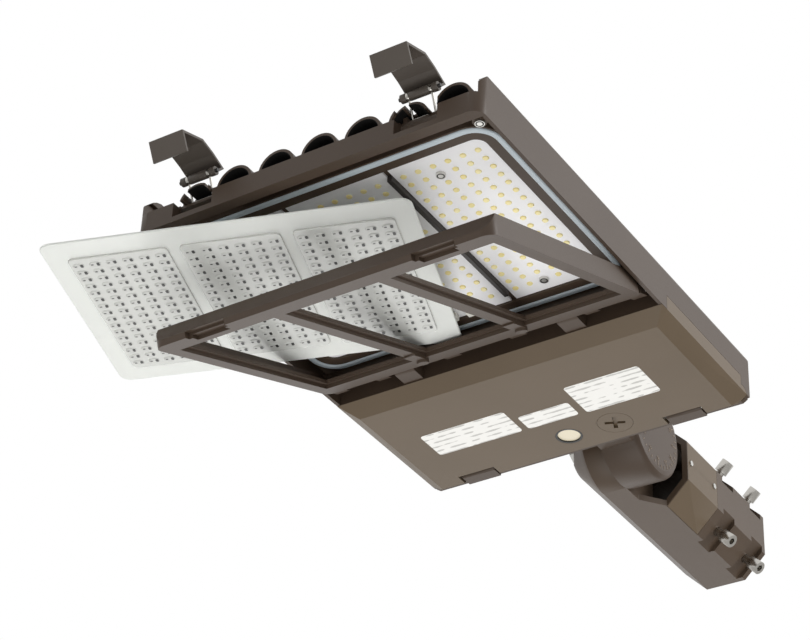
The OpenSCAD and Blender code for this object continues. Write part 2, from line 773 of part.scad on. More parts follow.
module led_driver() color("#d8d8d4") placed() translate([driver_at[0], driver_at[1], bay_roof]) {
    translate([-driver_size[0]/2, -driver_size[1]/2, -driver_size[2]]) cube(driver_size);
    for (s = [-1, 1]) difference() {
        translate([s*(driver_size[0] + driver_tab)/2 - driver_tab/2 - cut/2, -driver_size[1]/4, -driver_tab_t])
            cube([driver_tab + cut, driver_size[1]/2, driver_tab_t]);
        translate([s*(driver_size[0] + driver_tab)/2, 0, -driver_tab_t - cut]) cylinder(d = screw_d, h = driver_tab_t + 2*cut);
    }
}

module driver_screws() color("#c9c9c6") placed() {
    for (s = [-1, 1])
        translate([driver_at[0] + s*(driver_size[0] + driver_tab)/2, driver_at[1],
            bay_roof - driver_tab_t - screw_head_h])
            screw_up(screw_d - gap, screw_head_d, screw_head_h, driver_tab_t);
}

module surge_protector() color("#2b2b2c") placed() translate([surge_at[0], surge_at[1], bay_roof]) {
    translate([-surge_size[0]/2, -surge_size[1]/2, -surge_size[2]]) cube(surge_size);
}

module terminal_block() color("#e9e7df") placed() translate([block_at[0], block_at[1], bay_roof]) difference() {
    translate([-block_size[0]/2, -block_size[1]/2, -block_size[2]]) cube(block_size);
    for (i = [-1, 0, 1]) translate([i*block_size[0]/4, 0, -block_size[2] - cut])
        cylinder(d = block_size[0]/8, h = block_size[2]/2);
}

// Values of the latches, from the bail's lower pivot to the lever
bail_y = -17;
bail_z = 12;
pin_y = -24;
pin_z = 28.8;
lever_pin_d = 3;
bail_leg_x = 9.5;
bail_end_x = 15.2;
// The bail's pivot bar and eyes are this much stouter than its legs
wire_step = 0.2;
eye_r = lever_pin_d/2 + bail_d + run_gap;
eye_w = bail_d + 2*wire_step;
// The lever's bent path, from its pin, as shares of its length and rise
lever_len = 41.8;
lever_rise = 16;
lever_shares = [[0.057, 0.1], [0.182, 0.462], [-0.132, 0.788], [-0.443, 1], [-1, 0.538], [-0.823, -0.325]];
lever_path = [for (s = lever_shares) [pin_y + lever_len*s[0], pin_z + lever_rise*s[1]]];

// Points beside a path at the distance off, mitred at its bends
function leg_dir(path, i) = (path[i + 1] - path[i])/norm(path[i + 1] - path[i]);
function bend_dir(path, i) = leg_dir(path, max(i - 1, 0)) + leg_dir(path, min(i, len(path) - 2));
function beside(path, off) = [for (i = [0 : len(path) - 1])
    let (b = bend_dir(path, i), n = [-b[1], b[0]]) path[i] + n*2*off/(n*n)];

// Bent strip of even thickness along a path, drawn in Y and Z
module strip_2d(path, t) {
    near = beside(path, -t/2);
    polygon(concat(beside(path, t/2), [for (i = [len(path) - 1 : -1 : 0]) near[i]]));
}

module latch_bail(x) {
    d = [pin_y - bail_y, pin_z - bail_z];
    bar_x(x - bail_end_x, x + bail_end_x, bail_y, bail_z, bail_d + wire_step);
    for (s = [-1, 1]) {
        difference() {
            union() {
                translate([x + s*bail_leg_x, bail_y, bail_z]) rotate([atan2(d[1], d[0]) + 270, 0, 0])
                    cylinder(d = bail_d, h = norm(d) - lever_pin_d/2 - bail_d/2);
                bar_x(x + s*bail_leg_x - eye_w/2, x + s*bail_leg_x + eye_w/2, pin_y, pin_z, 2*eye_r);
            }
            bar_x(x + s*bail_leg_x - bail_d, x + s*bail_leg_x + bail_d, pin_y, pin_z, lever_pin_d + 2*run_gap);
        }
    }
}

module latch_lever(x) {
    difference() {
        union() {
            across(x - lever_w/2, x + lever_w/2) strip_2d(lever_path, lever_t);
            bar_x(x - lever_w/2, x + lever_w/2, pin_y, pin_z, lever_pin_d + 2*lever_t);
        }
        bar_x(x - lever_w, x + lever_w, pin_y, pin_z, lever_pin_d);
        // Room for the bail's eyes between the lever's rolled knuckles
        for (s = [-1, 1])
            bar_x(x + s*bail_leg_x - eye_w/2 - gap, x + s*bail_leg_x + eye_w/2 + gap, pin_y, pin_z, 2*eye_r + 2*gap);
    }
}

module latch_pin(x) {
    bar_x(x - lever_w/2 - lever_t, x + lever_w/2 + lever_t, pin_y, pin_z, lever_pin_d);
}

module latch_bail_left() color("#c9c9c6") placed() latch_bail(-latch_x);
module latch_bail_right() color("#c9c9c6") placed() latch_bail(latch_x);
module latch_lever_left() color("#5a5049") placed() latch_lever(-latch_x);
module latch_lever_right() color("#5a5049") placed() latch_lever(latch_x);
module latch_pin_left() color("#2a2725") placed() latch_pin(-latch_x);
module latch_pin_right() color("#2a2725") placed() latch_pin(latch_x);

// Values of the slipfitter arm
facet_share = 0.48;
facet = arm_w/2*facet_share;
arm_wall = 5.5;
// Hollow side's rim, behind the knuckle
rim_reach = 55.4;
rim_y = knuckle_y + rim_reach;
socket_y = mouth_y - socket_depth;
ear_x0 = -arm_w/2;
// Centre of the ear's round end, behind the knuckle's bolt
ear_set = 11.5;
ear_y = knuckle_y + ear_set;
// Gusset along the arm's bottom, from the ear to the rim
gusset_l = 21;
bolt_seat = 9;
bolt_head_d = 19;
bolt_head_h = 8;
washer_d = 25;
washer_t = 2.4;
set_screw_in = [71, 15];
set_screw_y = [for (d = set_screw_in) mouth_y - d];
set_screw_d = 8;
set_head_d = 12;
set_head_h = 11.5;
set_stand = 4;
hex_share = 0.8;
notch_l = 21.5;
notch_shift = 2;
notch_depth = 4;
wire_cover_t = 3;
wire_cover_play = [1, 0.5];
wire_cover_y0 = rim_y + wire_cover_play[0];
wire_cover_y1 = socket_y - wire_cover_play[1];
small_screw_d = 3;
small_head_d = 5;
small_head_h = 1;
wire_screw_in = 6;
wire_screw_y = [wire_cover_y0 + wire_screw_in, wire_cover_y1 - wire_screw_in];
bolt_face_x = ear_x0 + bolt_seat;

// Octagon of the arm, moved in by inset, about the arm's axis
module octagon_2d(inset) {
    a = arm_w/2 - inset;
    f = facet - inset*tan(22.5);
    translate([0, arm_z]) polygon([[a, -f], [a, f], [f, a], [-f, a], [-a, f], [-a, -f], [-f, -a], [f, -a]]);
}

// The cover's share of the octagon: its flat facet and the chamfer below it
module wire_cover_2d(grow) {
    a = arm_w/2;
    intersection() {
        difference() {
            octagon_2d(0);
            octagon_2d(wire_cover_t + grow);
        }
        translate([0, arm_z]) polygon([[a + cut, facet + grow], [a - wire_cover_t - 2*grow - cut, facet + grow],
            [facet - grow, -a + grow + wire_cover_t], [facet - grow, -a - cut], [a + cut, -a - cut]]);
    }
}

// Places children on a chamfer of the arm, with +Z out of it; side is 1 for the upper one, -1 for the lower
module on_chamfer(y, side) {
    c = (arm_w/2 + facet)/2;
    translate([c, y, arm_z + side*c]) rotate([0, 90 - side*45, 0]) children();
}

module slipfitter_arm() color("#4d443e") placed() difference() {
    union() {
        lengthwise(rim_y, mouth_y) octagon_2d(0);
        // Ear beside the knuckle, with its round end
        intersection() {
            lengthwise(ear_y, rim_y + cut) octagon_2d(0);
            block(ear_x0 - cut, serration_x, ear_y - cut, rim_y + 2*cut, -arm_w, arm_w);
        }
        bar_x(-facet, serration_x, ear_y, arm_z, arm_w);
        translate([ear_x0, ear_y, arm_z]) rotate([0, 90, 0]) cylinder(r1 = facet, r2 = arm_w/2, h = arm_w/2 - facet);
        translate([0, 0, arm_z - arm_w/2]) linear_extrude(arm_wall)
            polygon([[serration_x - cut, rim_y + cut], [serration_x - cut, rim_y - gusset_l],
                [serration_x, rim_y - gusset_l], [facet, rim_y], [facet, rim_y + cut]]);
    }
    // Hollow behind the rim, and the tenon's bore
    lengthwise(rim_y - cut, socket_y + cut) intersection() {
        octagon_2d(arm_wall);
        translate([serration_x, -arm_w]) square([arm_w, 2*arm_w]);
    }
    lengthwise(rim_y + arm_wall, socket_y + cut) octagon_2d(arm_wall);
    translate([0, socket_y, arm_z]) rotate([-90, 0, 0]) cylinder(d = tenon_bore_d, h = socket_depth + cut, $fn = 96);
    // Seats of the set screws
    for (y = set_screw_y, side = [-1, 1]) on_chamfer(y, side) {
        translate([-arm_w, -notch_l/2 - notch_shift, -notch_depth]) cube([2*arm_w, notch_l, arm_w]);
        translate([0, 0, -arm_w/2]) cylinder(d = set_screw_d + 2*run_gap, h = arm_w);
    }
    // Seat of the wiring cover
    lengthwise(wire_cover_y0 - gap, wire_cover_y1 + gap) wire_cover_2d(gap);
    for (y = wire_screw_y) bar_x(arm_w/2 - 2*arm_wall, arm_w/2 + cut, y, arm_z, small_screw_d);
    // Bolt's bore and its seat on the outer side of the ear
    bar_x(ear_x0 - cut, serration_x + cut, knuckle_y, arm_z, knuckle_bolt_d + 2*run_gap);
    bar_x(ear_x0 - cut, bolt_face_x, knuckle_y, arm_z, washer_d + 2*gap);
}

module arm_wiring_cover() color("#564c45") placed() difference() {
    lengthwise(wire_cover_y0, wire_cover_y1) wire_cover_2d(0);
    for (y = wire_screw_y) bar_x(arm_w/4, arm_w/2 + cut, y, arm_z, small_screw_d + gap);
}

module wiring_cover_screws() color("#d6d6d3") placed() {
    for (y = wire_screw_y) {
        bar_x(arm_w/2, arm_w/2 + small_head_h, y, arm_z, small_head_d);
        bar_x(arm_w/2 - 2*wire_cover_t + cut, arm_w/2 + small_head_h, y, arm_z, small_screw_d);
    }
}

module tenon_set_screws() color("#c4c4c1") placed() {
    for (y = set_screw_y, side = [-1, 1]) on_chamfer(y, side) difference() {
        union() {
            translate([0, 0, set_stand]) cylinder(d = set_head_d, h = set_head_h);
            translate([0, 0, tenon_bore_d/2 - arm_w/2 + gap])
                cylinder(d = set_screw_d, h = arm_w/2 - tenon_bore_d/2 + set_stand);
        }
        translate([0, 0, set_stand + set_head_h/2]) cylinder(d = set_screw_d*hex_share, h = set_head_h, $fn = 6);
    }
}

module knuckle_washer() color("#b9b9b6") placed() difference() {
    bar_x(bolt_face_x - washer_t, bolt_face_x, knuckle_y, arm_z, washer_d);
    bar_x(bolt_face_x - washer_t - cut, bolt_face_x + cut, knuckle_y, arm_z, knuckle_bolt_d + 2*gap);
}

module knuckle_bolt() color("#b9b9b6") placed() {
    translate([bolt_face_x - washer_t - bolt_head_h, knuckle_y, arm_z]) rotate([0, 90, 0])
        cylinder(d = bolt_head_d, h = bolt_head_h, $fn = 6);
    bar_x(bolt_face_x - washer_t - cut, drum_x0 + bolt_tap_depth - cut, knuckle_y, arm_z, knuckle_bolt_d);
}

slipfitter_arm();
arm_wiring_cover();
wiring_cover_screws();
tenon_set_screws();
knuckle_bolt();
knuckle_washer();
housing();
lens_gasket();
led_board_left();
led_board_centre();
led_board_right();
board_screws();
board_divider_left();
board_divider_right();
board_connectors();
led_leads();
led_driver();
driver_screws();
surge_protector();
terminal_block();
corner_screws();
door_hinge_pins();
cover_hinge_pins();
driver_cover();
cover_plug();
sensor_window();
sensor_ring();
lens_frame();
optic_lens();
latch_bail_left();
latch_bail_right();
latch_lever_left();
latch_lever_right();
latch_pin_left();
latch_pin_right();
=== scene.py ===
# Shoebox area light seen from below, with its optic door hanging open and its lens drawn half out.
# Metres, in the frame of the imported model: X across the light, Y towards the pole, Z up, and the
# origin at the mouth of the pole socket.
import math

import bpy
from mathutils import Matrix, Vector


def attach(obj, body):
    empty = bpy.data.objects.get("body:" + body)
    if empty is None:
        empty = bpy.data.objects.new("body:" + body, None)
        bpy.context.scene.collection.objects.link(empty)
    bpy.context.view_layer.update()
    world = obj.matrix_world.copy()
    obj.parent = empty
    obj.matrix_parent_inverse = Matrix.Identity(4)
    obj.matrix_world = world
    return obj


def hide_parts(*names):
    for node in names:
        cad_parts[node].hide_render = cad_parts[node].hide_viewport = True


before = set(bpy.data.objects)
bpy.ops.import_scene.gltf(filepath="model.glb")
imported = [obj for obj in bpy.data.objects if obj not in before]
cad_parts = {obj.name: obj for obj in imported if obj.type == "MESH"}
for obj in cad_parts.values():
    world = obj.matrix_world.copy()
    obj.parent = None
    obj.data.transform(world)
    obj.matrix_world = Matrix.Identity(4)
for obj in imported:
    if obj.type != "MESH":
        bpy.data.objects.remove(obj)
scene = bpy.context.scene
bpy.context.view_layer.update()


# Camera
# A long lens below and to the right of the light looks up at it, as in the photograph. Its place and
# turn were solved from the edges of the housing, the lens frame and the arm.
camera_at = Vector((0.8334, -1.7820, -1.0936))
camera_azimuth = math.radians(33.898)
camera_climb = math.radians(34.378)
camera_roll = math.radians(2.472)
camera_lens_mm = 107.507
sensor_mm = 36.0
camera_reach = 60

forward = Vector((
    -math.sin(camera_azimuth)*math.cos(camera_climb),
    math.cos(camera_azimuth)*math.cos(camera_climb),
    math.sin(camera_climb),
))
level_right = forward.cross(Vector((0, 0, 1))).normalized()
level_up = level_right.cross(forward)
right = level_right*math.cos(camera_roll) + level_up*math.sin(camera_roll)
up = right.cross(forward)
camera_data = bpy.data.cameras.new("photo_camera")
camera_data.lens = camera_lens_mm
camera_data.sensor_width = sensor_mm
camera_data.clip_end = camera_reach
camera = bpy.data.objects.new("photo_camera", camera_data)
camera.matrix_world = Matrix((right, up, -forward)).transposed().to_4x4()
camera.location = camera_at
scene.collection.objects.link(camera)
scene.camera = camera


# Room
# A pale floor well below the light, a white surround and large soft lamps, as for a product picture.
# Camera, mirror and see-through rays meet plain white, so that metal and lens show it too.
floor_drop = 2.45
floor_r = 14
floor_colour = "#f2f1ef"
surround_light = 0.62
lamps = [
    ("lamp_below", (0.05, -0.9, -1.9), (0.0, -0.3, 0.0), 1.8, 14),
    ("lamp_right", (2.0, 0.5, 0.7), (0.1, -0.4, 0.0), 1.6, 30),
    ("lamp_behind_below", (-1.2, 1.6, -1.2), (0.0, -0.35, 0.0), 1.8, 10),
]


def linear(hex_colour):
    """Linear RGBA of an sRGB hex colour."""
    out = []
    for i in (1, 3, 5):
        c = int(hex_colour[i:i + 2], 16)/255
        out.append(c/12.92 if c <= 0.04045 else ((c + 0.055)/1.055)**2.4)
    return (*out, 1.0)


def add_node(tree, kind, settings=None, **sockets):
    """Adds a node with its settings; each socket takes a value or another node's output."""
    node = tree.nodes.new(kind)
    for key, value in (settings or {}).items():
        setattr(node, key, value)
    for key, value in sockets.items():
        numbered = key[0] == "i" and key[1:].isdigit()
        socket = node.inputs[int(key[1:])] if numbered else node.inputs[key.replace("_", " ")]
        if isinstance(value, bpy.types.NodeSocket):
            tree.links.new(value, socket)
        else:
            socket.default_value = value
    return node


def new_material(name):
    """An empty material with its shader and output; returns the material, its tree and its shader."""
    material = bpy.data.materials.new(name)
    material.use_nodes = True
    tree = material.node_tree
    tree.nodes.clear()
    shader = tree.nodes.new("ShaderNodeBsdfPrincipled")
    output = tree.nodes.new("ShaderNodeOutputMaterial")
    tree.links.new(shader.outputs[0], output.inputs["Surface"])
    return material, tree, shader


def new_object(name, vertices, faces, materials, body, slots=None):
    """A mesh piece that rides on a body; slots holds each face's place in the list of materials."""
    mesh = bpy.data.meshes.new(name)
    mesh.from_pydata([tuple(v) for v in vertices], [], faces)
    for material in materials:
        mesh.materials.append(material)
    if slots:
        mesh.polygons.foreach_set("material_index", slots)
    mesh.update()
    piece = bpy.data.objects.new(name, mesh)
    scene.collection.objects.link(piece)
    if body:
        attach(piece, body)
    return piece


scene.view_settings.view_transform = "Standard"
world = bpy.data.worlds.new("white_surround")
scene.world = world
world.use_nodes = True
world.node_tree.nodes.clear()
rays = add_node(world.node_tree, "ShaderNodeLightPath")
seen = add_node(world.node_tree, "ShaderNodeMath", {"operation": "MAXIMUM"},
                i0=rays.outputs["Is Camera Ray"], i1=rays.outputs["Is Transmission Ray"])
white_share = add_node(world.node_tree, "ShaderNodeMath", {"operation": "MAXIMUM"},
                       i0=seen.outputs[0], i1=rays.outputs["Is Glossy Ray"])
strength = add_node(world.node_tree, "ShaderNodeMapRange", None, Value=white_share.outputs[0],
                    To_Min=surround_light, To_Max=1.0)
backdrop = add_node(world.node_tree, "ShaderNodeBackground", None,
                    Color=(1, 1, 1, 1), Strength=strength.outputs[0])
add_node(world.node_tree, "ShaderNodeOutputWorld", None, Surface=backdrop.outputs[0])

floor_paint, _, floor_shader = new_material("pale_painted_floor")
floor_shader.inputs["Base Color"].default_value = linear(floor_colour)
floor_shader.inputs["Roughness"].default_value = 0.8
floor = new_object("floor", [(-floor_r, -floor_r, -floor_drop), (floor_r, -floor_r, -floor_drop),
                             (floor_r, floor_r, -floor_drop), (-floor_r, floor_r, -floor_drop)],
                   [(0, 1, 2, 3)], [floor_paint], None)
for name, place, aim, size, power in lamps:
    lamp_data = bpy.data.lights.new(name, "AREA")
    lamp_data.shape = "DISK"
    lamp_data.size = size
    lamp_data.energy = power
    lamp = bpy.data.objects.new(name, lamp_data)
    lamp.location = place
    lamp.rotation_euler = (Vector(aim) - Vector(place)).to_track_quat("-Z", "Y").to_euler()
    scene.collection.objects.link(lamp)


# Housing
# Die cast aluminium body with its cooling ducts, driver compartment and knuckle drum, under a dark
# bronze polyester powder coat. The baked coat is satin, with an orange peel of about a millimetre,
# so flat faces show a soft sheen and no sharp reflection.
coat_colour = "#4d4035"
coat_shade = "#45382e"
peel_mm = 1.1
cloud_mm = 60
coat_specular = 0.3
coat_roughness = 0.42
cast_edge_mm = 0.5
weld_mm = 0.02
mouth_mm = 656.0
axis_mm = 20.1


def lamp_point(x, y, z):
    """A point given in millimetres about the gasket's front line, in the frame's metres."""
    return Vector((x, y - mouth_mm, z - axis_mm))/1000


def powder_coat(name, colour, shade, roughness, peel, depth=0.12):
    """Satin powder coat: two close tones in slow clouds, and a fine orange peel."""
    material, tree, shader = new_material(name)
    place = add_node(tree, "ShaderNodeTexCoord")
    cloud = add_node(tree, "ShaderNodeTexNoise", None, Vector=place.outputs["Object"],
                     Scale=1000/cloud_mm, Detail=3.0, Roughness=0.5)
    tone = add_node(tree, "ShaderNodeMix", {"data_type": "RGBA"}, i0=cloud.outputs["Fac"],
                    i6=linear(colour), i7=linear(shade))
    grain = add_node(tree, "ShaderNodeTexNoise", None, Vector=place.outputs["Object"],
                     Scale=1000/peel, Detail=2.0, Roughness=0.55)
    rough = add_node(tree, "ShaderNodeMapRange", None, Value=grain.outputs["Fac"],
                     To_Min=roughness - 0.05, To_Max=roughness + 0.06)
    bump = add_node(tree, "ShaderNodeBump", None, Height=grain.outputs["Fac"],
                    Strength=depth, Distance=peel/4000)
    tree.links.new(tone.outputs[2], shader.inputs["Base Color"])
    tree.links.new(rough.outputs[0], shader.inputs["Roughness"])
    tree.links.new(bump.outputs[0], shader.inputs["Normal"])
    shader.inputs["Specular IOR Level"].default_value = coat_specular
    return material


def dress(node, material, edge_mm=0.0, segments=2, angle=35):
    """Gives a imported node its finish, and rounds its edges where edge_mm is set."""
    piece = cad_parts[node]
    piece.data.materials.clear()
    piece.data.materials.append(material)
    if edge_mm:
        weld = piece.modifiers.new("weld", "WELD")
        weld.merge_threshold = weld_mm/1000
        bevel = piece.modifiers.new("edges", "BEVEL")
        bevel.width = edge_mm/1000
        bevel.segments = segments
        bevel.limit_method = "ANGLE"
        bevel.angle_limit = math.radians(angle)


bronze_coat = powder_coat("dark_bronze_powder_coat_on_cast_aluminium", coat_colour, coat_shade,
                          coat_roughness, peel_mm)
dress("housing", bronze_coat, cast_edge_mm)


# Painted shade in the cooling ducts
# The ducts' depth lies in deep shade, and near black linings paint that shade in. Each lining is a
# skin a sixth of a millimetre thick on the duct's half round wall, in a matt near black coat. Over
# the two latch pockets its front part leaves the slots of the bails' legs free.
duct_count = 7
duct_middle_mm = 15.4
duct_pitch_mm = 37.6
duct_axis_mm = 5.0
lining_r_mm = (13.56, 13.4)
lining_front_mm = -29.0
pocket_front_mm = -26.5
slots_end_mm = -12.0
lining_end_mm = 150.0
lining_deg = (14, 166)
pocket_parts_deg = {0: [(54, 126)], 5: [(14, 94), (116, 166)]}
arc_steps = 12
# Matt near black coat: painted shade for the ducts' dark depth.
duct_shade_paint = powder_coat("painted_shade_inside_ducts", "#100e0c", "#0b0a09", 0.8, peel_mm)
lining_verts, lining_faces = [], []
for i in range(duct_count):
    cx = duct_middle_mm + duct_pitch_mm*(i - (duct_count - 1)/2)
    front = pocket_front_mm if i in pocket_parts_deg else lining_front_mm
    spans = [(part, front, slots_end_mm) for part in pocket_parts_deg.get(i, [lining_deg])]
    spans.append((lining_deg, slots_end_mm, lining_end_mm))
    for (a0, a1), y0, y1 in spans:
        start = len(lining_verts)
        for r in lining_r_mm:
            for y in (y0, y1):
                for k in range(arc_steps + 1):
                    a = math.radians(a0 + (a1 - a0)*k/arc_steps)
                    lining_verts.append(lamp_point(cx + r*math.cos(a), y, duct_axis_mm + r*math.sin(a)))
        loops = [start + (arc_steps + 1)*k for k in range(4)]
        outer_front, outer_back, inner_front, inner_back = loops
        for k in range(arc_steps):
            lining_faces += [(outer_front + k, outer_front + k + 1, outer_back + k + 1, outer_back + k),
                             (inner_front + k + 1, inner_front + k, inner_back + k, inner_back + k + 1),
                             (outer_front + k + 1, outer_front + k, inner_front + k, inner_front + k + 1),
                             (outer_back + k, outer_back + k + 1, inner_back + k + 1, inner_back + k)]
        ends = (outer_back, outer_front, inner_front, inner_back)
        lining_faces += [(outer_front, outer_back, inner_back, inner_front),
                         tuple(loop + arc_steps for loop in ends)]
duct_shade_sheets = new_object("painted_shade_duct_linings", lining_verts, lining_faces, [duct_shade_paint], "head")


# Tilt scale on the housing's knuckle drum
# Degree lines and numbers, cast with the drum's outer face and proud of it by a quarter of a
# millimetre. Their coat is a lighter tone than the drum's.
scale_foot_mm = 39.5
scale_top_mm = 39.85
pivot_mm = (447.6, 20.1)
line_r_mm = (31.5, 34.6)
line_w_mm = 0.7
long_line_mm = 2.0
number_r_mm = 27.2
number_h_mm = 4.6
number_depth_mm = 0.07
line_step = 10
number_step = 30
scale_coat = powder_coat("bronze_coat_on_raised_scale", "#8a7a69", "#7c6d5d", 0.4, peel_mm, 0.05)
scale_verts, scale_faces = [], []
for a in range(-180, 180, line_step):
    out = Vector((math.cos(math.radians(a)), math.sin(math.radians(a))))
    side = Vector((-out.y, out.x))*line_w_mm/2
    inner = line_r_mm[0] - (long_line_mm if a % number_step == 0 else 0)
    start = len(scale_verts)
    for x in (scale_foot_mm, scale_top_mm):
        for r, s in ((inner, -1), (inner, 1), (line_r_mm[1], 1), (line_r_mm[1], -1)):
            flat = out*r + side*s
            scale_verts.append(lamp_point(x, pivot_mm[0] + flat.x, pivot_mm[1] + flat.y))
    scale_faces += [tuple(start + 4 + k for k in range(4)), tuple(start + k for k in (3, 2, 1, 0))]
    for k in range(4):
        scale_faces.append((start + k, start + (k + 1) % 4, start + 4 + (k + 1) % 4, start + 4 + k))
scale_lines = new_object("tilt_scale_lines", scale_verts, scale_faces, [scale_coat], "head")
for a in range(-180, 180, number_step):
    figure_data = bpy.data.curves.new("tilt_scale_number", "FONT")
    figure_data.body = str(90 - abs(90 - abs(a)))
    figure_data.size = number_h_mm/1000
    figure_data.align_x = "CENTER"
    figure_data.align_y = "CENTER"
    figure_data.extrude = number_depth_mm/1000
    figure = bpy.data.objects.new("tilt_scale_number", figure_data)
    scene.collection.objects.link(figure)
    out = Vector((math.cos(math.radians(a)), math.sin(math.radians(a))))
    turn = Matrix(((0, 0, 1), (out.y, out.x, 0), (-out.x, out.y, 0)))
    figure.matrix_world = Matrix.Translation(lamp_point(
        scale_top_mm - number_depth_mm, pivot_mm[0] + number_r_mm*out.x,
        pivot_mm[1] + number_r_mm*out.y)) @ turn.to_4x4()
    bpy.context.view_layer.update()
    outline = bpy.data.meshes.new_from_object(figure.evaluated_get(bpy.context.evaluated_depsgraph_get()))
    points = [figure.matrix_world @ v.co for v in outline.vertices]
    faces = [tuple(p.vertices) for p in outline.polygons]
    bpy.data.objects.remove(figure)
    number = new_object("tilt_scale_figure", points, faces, [scale_coat], "head")


# Lens frame
# The door is die cast in aluminium with drafted edges, and has the same coat as the housing. It hangs
# on two pins at the driver compartment.
dress("lens_frame", bronze_coat, cast_edge_mm)


# Slipfitter arm
# A heavier casting, clamped to the knuckle drum by a bolt. Its coat is a little warmer, and smoother
# where the mould was polished.
arm_coat = powder_coat("dark_bronze_powder_coat_on_arm_casting", "#54463a", "#4b3e32", 0.4, peel_mm)
dress("slipfitter_arm", arm_coat, 0.7)


# Driver cover
# Pressed aluminium tray in the bronze coat, a little lighter because the film lies smoother on
# rolled sheet than on a casting.
sheet_coat = powder_coat("dark_bronze_powder_coat_on_rolled_sheet", "#665745", "#5e503e",
                         coat_roughness, peel_mm, 0.08)
dress("driver_cover", sheet_coat, 0.4)


# Driver cover's labels
# Three white film labels glued flat under the cover. Each is a thin sheet with round corners and
# softly printed grey ruled lines in place of any text.
label_face_mm = -18.0
label_t_mm = 0.12
corner_steps = 3
rule_mm = 20
rule_break_mm = 9
label_places = [((-109, -29), (306, 339), 2.6), ((-23, 24), (319, 339), 2.6),
                ((31, 98.5), (299, 340), 2.6)]
film, film_tree, film_shader = new_material("white_polyester_label_film")
film_place = add_node(film_tree, "ShaderNodeTexCoord")
film_rules = add_node(film_tree, "ShaderNodeTexWave", {"wave_type": "BANDS", "bands_direction": "Y"},
                      Vector=film_place.outputs["Object"], Scale=1000/rule_mm, Distortion=0.0)
film_breaks = add_node(film_tree, "ShaderNodeTexNoise", None, Vector=film_place.outputs["Object"],
                       Scale=1000/rule_break_mm, Detail=1.0)
film_ink = add_node(film_tree, "ShaderNodeMath", {"operation": "MULTIPLY"},
                    i0=film_rules.outputs["Fac"], i1=film_breaks.outputs["Fac"])
film_step = add_node(film_tree, "ShaderNodeMapRange", None, Value=film_ink.outputs[0],
                     From_Min=0.42, From_Max=0.5, To_Min=0.0, To_Max=0.55)
film_tone = add_node(film_tree, "ShaderNodeMix", {"data_type": "RGBA"}, i0=film_step.outputs[0],
                     i6=linear("#f4f3ef"), i7=linear("#8d8b86"))
film_tree.links.new(film_tone.outputs[2], film_shader.inputs["Base Color"])
film_shader.inputs["Roughness"].default_value = 0.45
label_verts, label_faces = [], []
for (x0, x1), (y0, y1), r in label_places:
    start = len(label_verts)
    outline = []
    corners = ((x1 - r, y1 - r, 0), (x0 + r, y1 - r, 90), (x0 + r, y0 + r, 180), (x1 - r, y0 + r, 270))
    for cx, cy, first in corners:
        for k in range(corner_steps + 1):
            a = math.radians(first + 90*k/corner_steps)
            outline.append((cx + r*math.cos(a), cy + r*math.sin(a)))
    n = len(outline)
    for z in (label_face_mm, label_face_mm - label_t_mm):
        label_verts += [lamp_point(x, y, z) for x, y in outline]
    label_faces.append(tuple(start + k for k in range(n)))
    label_faces.append(tuple(start + n + k for k in range(n - 1, -1, -1)))
    for k in range(n):
        label_faces.append((start + n + k, start + n + (k + 1) % n, start + (k + 1) % n, start + k))
labels = new_object("blank_labels", label_verts, label_faces, [film], "cover")


# Wiring cover
# Cast cover over the wiring opening in the arm's side, screwed on. It has the coat of the driver
# cover, which lies smoother than the arm's.
dress("arm_wiring_cover", sheet_coat, 0.4)


# Latch levers
# Bent steel sheet in the bronze coat, greyer than the castings. The levers hang on their pins, and
# the bends catch a thin light line.
lever_coat = powder_coat("dark_bronze_powder_coat_on_bent_steel", "#5b544d", "#524b45",
                         0.36, peel_mm, 0.08)
dress("latch_lever_left", lever_coat, 0.5)
dress("latch_lever_right", lever_coat, 0.5)


# Cover plug
# Cast plug screwed into the driver cover and coated with it, with a deep cross for a wide tool. Its
# rim is worn round.
dress("cover_plug", sheet_coat, 0.6)


# Lens gasket
# A moulded blue grey silicone cord pressed into its groove. Silicone is soft, a little milky and
# satin, and its corners are round.
cord_edge_mm = 1.4
cord_glow_mm = 4.0
dust_mm = 3.0
dust_depth_mm = 0.4
silicone, silicone_tree, silicone_shader = new_material("moulded_silicone_cord")
silicone_shader.inputs["Base Color"].default_value = linear("#c8d3da")
silicone_shader.inputs["Roughness"].default_value = 0.38
silicone_shader.inputs["Subsurface Weight"].default_value = 0.12
silicone_shader.inputs["Subsurface Radius"].default_value = 3*(cord_glow_mm/1000,)
silicone_shader.inputs["IOR"].default_value = 1.43
silicone_place = add_node(silicone_tree, "ShaderNodeTexCoord")
silicone_dust = add_node(silicone_tree, "ShaderNodeTexNoise", None, Vector=silicone_place.outputs["Object"],
                         Scale=1000/dust_mm, Detail=2.0)
silicone_bump = add_node(silicone_tree, "ShaderNodeBump", None, Height=silicone_dust.outputs["Fac"],
                         Strength=0.15, Distance=dust_depth_mm/1000)
silicone_tree.links.new(silicone_bump.outputs[0], silicone_shader.inputs["Normal"])
dress("lens_gasket", silicone, cord_edge_mm, 3, 60)


# LED boards
# Aluminium boards under white solder mask, screwed flat to the housing. The mask is slightly glossy
# and faintly lilac in slow clouds.
mask_cloud_mm = 25
mask, mask_tree, mask_shader = new_material("white_solder_mask_on_aluminium_board")
mask_place = add_node(mask_tree, "ShaderNodeTexCoord")
mask_cloud = add_node(mask_tree, "ShaderNodeTexNoise", None, Vector=mask_place.outputs["Object"],
                      Scale=1000/mask_cloud_mm, Detail=2.0)
mask_tone = add_node(mask_tree, "ShaderNodeMix", {"data_type": "RGBA"}, i0=mask_cloud.outputs["Fac"],
                     i6=linear("#fbfbfa"), i7=linear("#f3f2f6"))
mask_tree.links.new(mask_tone.outputs[2], mask_shader.inputs["Base Color"])
mask_shader.inputs["Roughness"].default_value = 0.35
for node in ("led_board_left", "led_board_centre", "led_board_right"):
    dress(node, mask)


